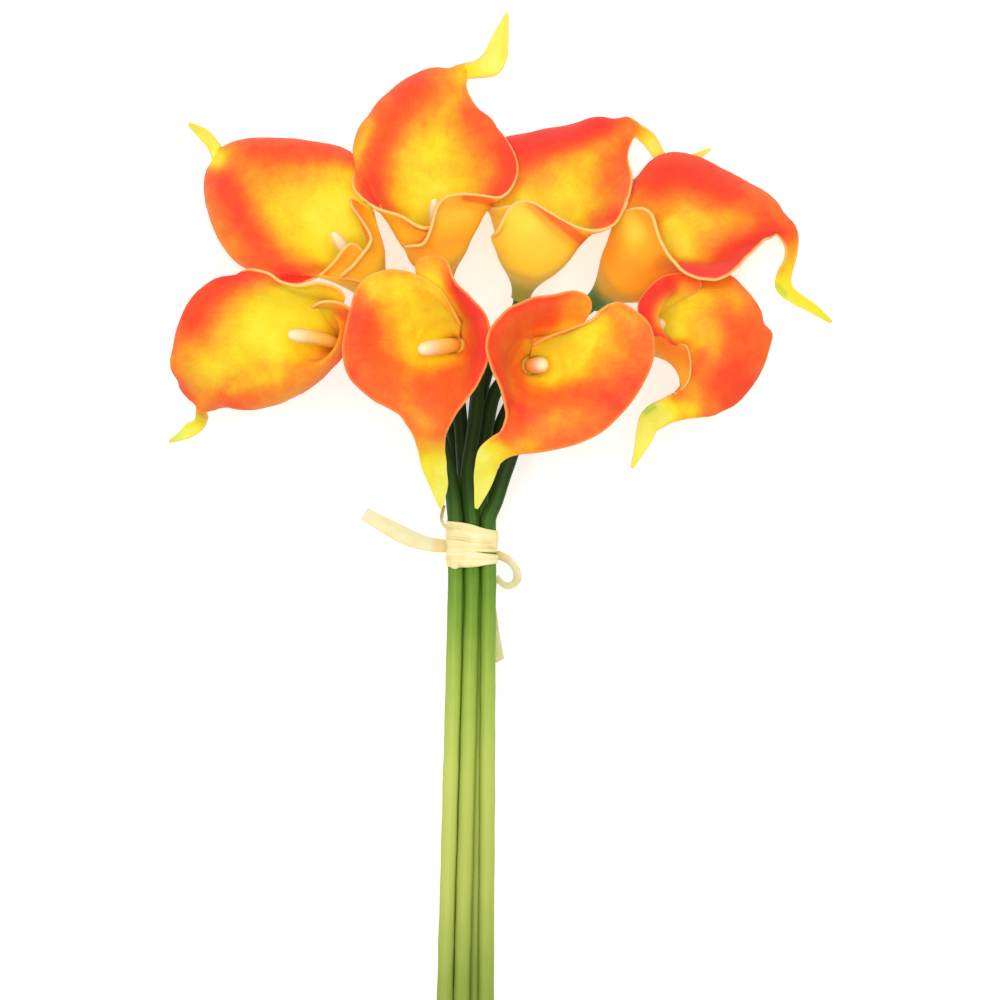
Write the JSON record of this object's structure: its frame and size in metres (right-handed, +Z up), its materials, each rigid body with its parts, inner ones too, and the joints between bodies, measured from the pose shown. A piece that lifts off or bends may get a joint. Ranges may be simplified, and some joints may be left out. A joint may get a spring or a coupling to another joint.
{
  "type": "tied calla lily bunch",
  "caption": "Lying bunch of orange and yellow calla lilies on long green stems, tied with pale raffia.",
  "frame": {"origin": "middle of the bunch's outline on the table top it lies on", "axes": "+Z up from the table, +Y along the stems towards the blooms, +X to the right seen from above with the blooms up"},
  "size_m": [0.2674, 0.4107, 0.0906],
  "materials": {
    "spathe": "soft matt foam skin",
    "spadix": "fine grain, matt",
    "stem": "satin",
    "raffia": "dry leaf fibre, matt"
  },
  "bodies": {
    "root": {"spathe_upper_left": "spathe", "spadix_upper_left": "spadix", "stem_upper_left": "stem", "spathe_top": "spathe", "spadix_top": "spadix", "stem_top": "stem", "spathe_upper_middle": "spathe", "spadix_upper_middle": "spadix", "stem_upper_middle": "stem", "spathe_upper_right": "spathe", "spadix_upper_right": "spadix", "stem_upper_right": "stem", "spathe_lower_left": "spathe", "spadix_lower_left": "spadix", "stem_lower_left": "stem", "spathe_front_left": "spathe", "spadix_front_left": "spadix", "stem_front_left": "stem", "spathe_front_right": "spathe", "spadix_front_right": "spadix", "stem_front_right": "stem", "spathe_lower_right": "spathe", "spadix_lower_right": "spadix", "stem_lower_right": "stem", "raffia_wrap": "raffia", "raffia_tail_left": "raffia", "raffia_loop_right": "raffia", "raffia_tail_lower": "raffia", "raffia_loop_left": "raffia"}
  },
  "joints": []
}
